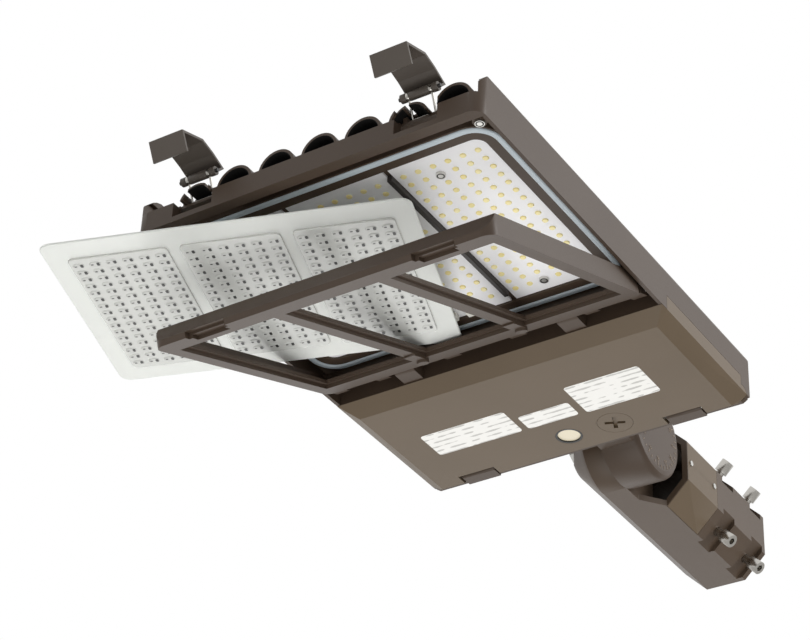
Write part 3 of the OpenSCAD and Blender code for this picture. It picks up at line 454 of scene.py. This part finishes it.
# LED phosphor
# Each LED is a small white package filled with yellow phosphor in clear silicone, seen as a soft
# pale yellow dot. Each level of a dot is its diameter and its drop below the board's face.
board_face_mm = 3.0
dot_levels_mm = ((5.0, 0.02), (5.0, 0.3), (4.0, 0.9))
dot_sides = 10
dot_tone_mm = 12
led_pitch_x_mm = 12.63
led_pitch_y_mm = 10.72
led_columns, led_rows = 6, 16
led_first_y_mm = 24.5
zone_mm = 85.2
screw_column = 2
screw_rows = (1, 15)
phosphor, phosphor_tree, phosphor_shader = new_material("yellow_phosphor_in_clear_silicone")
phosphor_place = add_node(phosphor_tree, "ShaderNodeTexCoord")
phosphor_bin = add_node(phosphor_tree, "ShaderNodeTexNoise", None, Vector=phosphor_place.outputs["Object"],
                        Scale=1000/dot_tone_mm, Detail=0.0)
phosphor_tone = add_node(phosphor_tree, "ShaderNodeMix", {"data_type": "RGBA"},
                         i0=phosphor_bin.outputs["Fac"], i6=linear("#fbf0b4"), i7=linear("#fbe796"))
phosphor_tree.links.new(phosphor_tone.outputs[2], phosphor_shader.inputs["Base Color"])
phosphor_shader.inputs["Roughness"].default_value = 0.3
phosphor_shader.inputs["Coat Weight"].default_value = 0.4
led_verts, led_faces = [], []
for zone in (-1, 0, 1):
    for column in range(led_columns):
        for row in range(led_rows):
            if column == screw_column and row in screw_rows:
                continue
            x = zone*zone_mm + (column - (led_columns - 1)/2)*led_pitch_x_mm
            y = led_first_y_mm + row*led_pitch_y_mm
            start = len(led_verts)
            for d, drop in dot_levels_mm:
                for k in range(dot_sides):
                    a = math.radians(360*k/dot_sides)
                    px, py = x + d/2*math.cos(a), y + d/2*math.sin(a)
                    led_verts.append(lamp_point(px, py, board_face_mm - drop))
            for low in (start, start + dot_sides):
                for k in range(dot_sides):
                    n = (k + 1) % dot_sides
                    led_faces.append((low + k, low + dot_sides + k, low + dot_sides + n, low + n))
            led_faces.append(tuple(start + 3*dot_sides - 1 - k for k in range(dot_sides)))
            led_faces.append(tuple(start + k for k in range(dot_sides)))
led_dots = new_object("led_phosphor", led_verts, led_faces, [phosphor], "head")


# Board dividers
# Moulded dark polycarbonate ribs that stand between the boards, satin, with a faint grain from the
# mould.
def moulded(name, colour, roughness, grain_mm):
    """Moulded plastic with the mould's fine grain."""
    material, tree, shader = new_material(name)
    place = add_node(tree, "ShaderNodeTexCoord")
    grain = add_node(tree, "ShaderNodeTexNoise", None, Vector=place.outputs["Object"],
                     Scale=1000/grain_mm, Detail=2.0)
    bump = add_node(tree, "ShaderNodeBump", None, Height=grain.outputs["Fac"],
                    Strength=0.15, Distance=grain_mm/5000)
    tree.links.new(bump.outputs[0], shader.inputs["Normal"])
    shader.inputs["Base Color"].default_value = linear(colour)
    shader.inputs["Roughness"].default_value = roughness
    return material


divider_plastic = moulded("dark_moulded_polycarbonate", "#2f2926", 0.45, 0.8)
dress("board_divider_left", divider_plastic, 0.6)
dress("board_divider_right", divider_plastic, 0.6)


# Sensor ring and window
# Moulded black nylon ring in the driver cover, with a cream diffusing window pressed into it. The
# window is a little glossier than the ring.
black_plastic = moulded("black_moulded_nylon", "#151413", 0.42, 0.7)
cream_plastic = moulded("cream_diffusing_polycarbonate", "#e6dcc2", 0.35, 0.6)
dress("sensor_ring", black_plastic, 0.3)
dress("sensor_window", cream_plastic, 0.5)


# Latch pins
# Drawn steel pins that join each lever to its bail. Black oxide leaves them satin, with fine marks.
pin_steel = moulded("black_oxide_steel_pin", "#1b1a19", 0.34, 0.5)
dress("latch_pin_left", pin_steel, 0.3)
dress("latch_pin_right", pin_steel, 0.3)


# Board connectors
# Moulded white nylon plug housings, soldered to the middle board at its back edge. Nylon is satin,
# with the mould's fine grain.
white_plastic = moulded("white_moulded_nylon", "#eceae2", 0.4, 0.7)
dress("board_connectors", white_plastic, 0.4)


# LED leads
# Short stranded leads behind the connectors, in extruded yellow insulation that has a soft shine.
dress("led_leads", moulded("yellow_wire_insulation", "#d8bf2c", 0.35, 0.8))


# Terminal block
# Moulded white nylon block behind the LED driver, with a row of round wire entries. Its edges are a
# little round.
dress("terminal_block", moulded("white_terminal_nylon", "#e8e5dc", 0.42, 0.9), 0.6)


# Surge protector
# Black moulded box behind the LED driver, filled with potting resin. It is dull, and its edges are
# round.
dress("surge_protector", moulded("black_potted_box", "#1a1918", 0.5, 1.2), 1.0)


# Board and corner screws
# Zinc plated steel pan heads, bright in the middle with a dark ring where the driver's recess lies in
# shade. The ring is a thin piece on the head's face.
def bright_metal(name, colour, roughness, mark_mm):
    """Bare metal with fine marks that vary its gloss."""
    material, tree, shader = new_material(name)
    place = add_node(tree, "ShaderNodeTexCoord")
    marks = add_node(tree, "ShaderNodeTexNoise", None, Vector=place.outputs["Object"],
                     Scale=1000/mark_mm, Detail=3.0)
    rough = add_node(tree, "ShaderNodeMapRange", None, Value=marks.outputs["Fac"],
                     To_Min=roughness - 0.08, To_Max=roughness + 0.1)
    tree.links.new(rough.outputs[0], shader.inputs["Roughness"])
    shader.inputs["Base Color"].default_value = linear(colour)
    shader.inputs["Metallic"].default_value = 1.0
    return material


zinc = bright_metal("zinc_plated_steel", "#d6d5d1", 0.32, 0.6)
for node in ("board_screws", "corner_screws"):
    dress(node, zinc, 0.3)
ring_r_mm = (3.1, 2.1)
ring_lift_mm = (0.02, -0.05)
ring_sides = 16
head_h_mm = 2.0
corner_head_mm = (136.0, -5.0, -2.0)
socket_shade = moulded("shaded_driver_recess", "#2a2928", 0.5, 0.5)
screw_x_mm = (screw_column - (led_columns - 1)/2)*led_pitch_x_mm
head_spots = [(zone*zone_mm + screw_x_mm, led_first_y_mm + row*led_pitch_y_mm, board_face_mm - head_h_mm)
              for zone in (-1, 0, 1) for row in screw_rows]
head_spots += [(side*corner_head_mm[0], corner_head_mm[1], corner_head_mm[2]) for side in (-1, 1)]
ring_verts, ring_faces = [], []
for x, y, z in head_spots:
    start = len(ring_verts)
    for r in ring_r_mm:
        for lift in ring_lift_mm:
            for k in range(ring_sides):
                a = math.radians(360*k/ring_sides)
                ring_verts.append(lamp_point(x + r*math.cos(a), y + r*math.sin(a), z + lift))
    outer_top, outer_low, inner_top, inner_low = (start + ring_sides*k for k in range(4))
    for k in range(ring_sides):
        n = (k + 1) % ring_sides
        ring_faces += [(outer_top + k, outer_low + k, outer_low + n, outer_top + n),
                       (outer_low + k, inner_low + k, inner_low + n, outer_low + n),
                       (inner_low + k, inner_top + k, inner_top + n, inner_low + n),
                       (inner_top + k, outer_top + k, outer_top + n, inner_top + n)]
rings = new_object("screw_head_rings", ring_verts, ring_faces, [socket_shade], "head")


# Driver screws, wiring cover screws, knuckle bolt and washer
# Steel with rolled threads, zinc plated, and duller than the screws on the boards, with marks from
# tightening.
dull_zinc = bright_metal("dull_zinc_plated_steel", "#b3b2ae", 0.38, 0.8)
for node in ("driver_screws", "wiring_cover_screws", "knuckle_bolt", "knuckle_washer"):
    dress(node, dull_zinc, 0.3)


# Tenon set screws
# Turned stainless steel socket head screws in the arm, with crisp chamfers that catch the light.
turned_steel = bright_metal("turned_stainless_steel", "#bdbab4", 0.24, 0.4)
dress("tenon_set_screws", turned_steel, 0.5)


# Latch bails
# Drawn stainless wire, bent to a loop and sprung into the housing's pockets. It is bright along its
# length, with fine marks.
wire_steel = bright_metal("drawn_stainless_wire", "#b9b6b0", 0.22, 0.4)
dress("latch_bail_left", wire_steel, 0.15)
dress("latch_bail_right", wire_steel, 0.15)


# Hinge pins
# Ground stainless pins in the door's and the cover's hinges, a little duller than the wire.
ground_steel = bright_metal("ground_stainless_pin", "#b4b1ab", 0.3, 0.5)
dress("door_hinge_pins", ground_steel, 0.25)
dress("cover_hinge_pins", ground_steel, 0.25)


# LED driver
# Folded aluminium case with round edges, anodised to a soft grey with faint marks from handling. Two
# screws hold it in the driver compartment.
dress("led_driver", bright_metal("anodised_driver_case", "#b9b9b6", 0.42, 1.5), 1.0)


# Optic lens
# One acrylic moulding: a flat flange with round corners, frosted and milky, and three clear raised
# fields, each with six by sixteen oval optics over the LEDs. In each optic two small near black
# pieces are painted dark refraction, where the walls of its pocket are seen at a slant.
lens_w_mm = 278.5
lens_l_mm = 214.0
lens_t_mm = 2.0
lens_edge_mm = 0.5
lens_corner_mm = 9.0
field_w_mm = 76.0
field_end_mm = 21.5
field_root_mm = 0.3
field_rise_mm = 1.7
field_edge_mm = 0.4
field_corner_mm = 4.5
field_margin_mm = 4.0
# Each level of an optic is its width, length, corner radius and drop
optic_levels_mm = ((8.8, 7.2, 3.0, 0), (8.0, 6.4, 2.7, 0.4), (5.8, 4.6, 1.9, 0.6))
optic_root_mm = 0.1
# Each painted dark refraction mark is its shift across, width, length and corner radius
dark_marks_mm = ((2.5, 2.2, 4.0, 0.6), (-2.0, 2.0, 1.3, 0.3))
dark_mark_top_mm = 0.3
dark_mark_low_mm = -0.06
frost_cloud_mm = 30
clear_flow_mm = 20
lens_back_mm = (-138.69, 160.88, -16.13)
lens_turn = (5.44, -2.54, 21.06)
lens_matrix = (Matrix.Rotation(math.radians(lens_turn[2]), 3, "Z")
               @ Matrix.Rotation(math.radians(lens_turn[1]), 3, "Y")
               @ Matrix.Rotation(math.radians(lens_turn[0]), 3, "X"))


def lens_point(x, y, z):
    """A point of the lens, in millimetres about the middle of its back edge, in the frame's metres."""
    return lamp_point(*(Vector(lens_back_mm) + lens_matrix @ Vector((x, y, z))))


def lens_loop(cx, cy, w, l, r, z, steps=5):
    """A loop with round corners, w wide and l long about cx and cy, at height z of the lens."""
    points = []
    for sx, sy, first in ((1, 1, 0), (-1, 1, 90), (-1, -1, 180), (1, -1, 270)):
        for i in range(steps + 1):
            a = math.radians(first + 90*i/steps)
            x = cx + sx*(w/2 - r) + r*math.cos(a)
            y = cy + sy*(l/2 - r) + r*math.sin(a)
            points.append(lens_point(x, y, z))
    return points


lens_verts, lens_faces, lens_slots = [], [], []


def add_form(loops, slot):
    """Adds a closed form through loops of equal count, from its top down to its low cap."""
    start = len(lens_verts)
    count = len(loops[0])
    lens_verts.extend(p for loop in loops for p in loop)
    for level in range(len(loops) - 1):
        for i in range(count):
            n = (i + 1) % count
            a, b = start + level*count, start + (level + 1)*count
            lens_faces.append((a + i, b + i, b + n, a + n))
            lens_slots.append(slot)
    lens_faces.append(tuple(start + i for i in range(count)))
    lens_slots.append(slot)
    lens_faces.append(tuple(start + (len(loops) - 1)*count + i for i in range(count - 1, -1, -1)))
    lens_slots.append(slot)


middle_mm = -lens_l_mm/2
flange_levels = ((lens_edge_mm, lens_t_mm), (0, lens_t_mm - lens_edge_mm),
                 (0, lens_edge_mm), (lens_edge_mm, 0))
add_form([lens_loop(0, middle_mm, lens_w_mm - 2*inset, lens_l_mm - 2*inset, lens_corner_mm - inset, z)
          for inset, z in flange_levels], 0)
field_l_mm = lens_l_mm - 2*field_end_mm
field_levels = ((0, field_root_mm), (0, field_edge_mm - field_rise_mm), (field_edge_mm, -field_rise_mm))
optic_top_mm = optic_root_mm - field_rise_mm
optic_face_mm = optic_top_mm - optic_levels_mm[-1][3]
for zone in (-1, 0, 1):
    cx = zone*zone_mm
    add_form([lens_loop(cx, middle_mm, field_w_mm - 2*inset, field_l_mm - 2*inset, field_corner_mm - inset, z)
              for inset, z in field_levels], 1)
    for column in range(led_columns):
        for row in range(led_rows):
            x = cx + (column - (led_columns - 1)/2)*led_pitch_x_mm
            y = middle_mm + (row - (led_rows - 1)/2)*(field_l_mm - 2*field_margin_mm)/led_rows
            add_form([lens_loop(x, y, w, l, corner, optic_top_mm - drop, 2)
                      for w, l, corner, drop in optic_levels_mm], 1)
            # Two near black pieces per optic: painted dark refraction.
            for shift, w, l, corner in dark_marks_mm:
                add_form([lens_loop(x + shift, y, w, l, corner, optic_face_mm + z, 1)
                          for z in (dark_mark_top_mm, dark_mark_low_mm)], 2)
frost, frost_tree, frost_shader = new_material("frosted_acrylic_flange")
frost_place = add_node(frost_tree, "ShaderNodeTexCoord")
frost_cloud = add_node(frost_tree, "ShaderNodeTexNoise", None, Vector=frost_place.outputs["Object"],
                       Scale=1000/frost_cloud_mm, Detail=2.0)
frost_share = add_node(frost_tree, "ShaderNodeMapRange", None, Value=frost_cloud.outputs["Fac"],
                       To_Min=0.3, To_Max=0.42)
frost_tree.links.new(frost_share.outputs[0], frost_shader.inputs["Transmission Weight"])
frost_shader.inputs["Base Color"].default_value = linear("#f7f9f5")
frost_shader.inputs["Roughness"].default_value = 0.32
frost_shader.inputs["IOR"].default_value = 1.3
clear, clear_tree, clear_shader = new_material("clear_moulded_acrylic")
clear_place = add_node(clear_tree, "ShaderNodeTexCoord")
clear_flow = add_node(clear_tree, "ShaderNodeTexNoise", None, Vector=clear_place.outputs["Object"],
                      Scale=1000/clear_flow_mm, Detail=1.0)
clear_rough = add_node(clear_tree, "ShaderNodeMapRange", None, Value=clear_flow.outputs["Fac"],
                       To_Min=0.12, To_Max=0.24)
clear_tree.links.new(clear_rough.outputs[0], clear_shader.inputs["Roughness"])
clear_shader.inputs["Base Color"].default_value = linear("#fafbf7")
clear_shader.inputs["IOR"].default_value = 1.49
clear_shader.inputs["Transmission Weight"].default_value = 0.5
# Near black material: painted dark refraction in the optics.
dark_refraction_paint = moulded("painted_dark_refraction_in_optics", "#1c1c1a", 0.35, 1.0)
lens = new_object("clear_optic_lens", lens_verts, lens_faces, [frost, clear, dark_refraction_paint], "lens", lens_slots)
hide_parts("optic_lens")
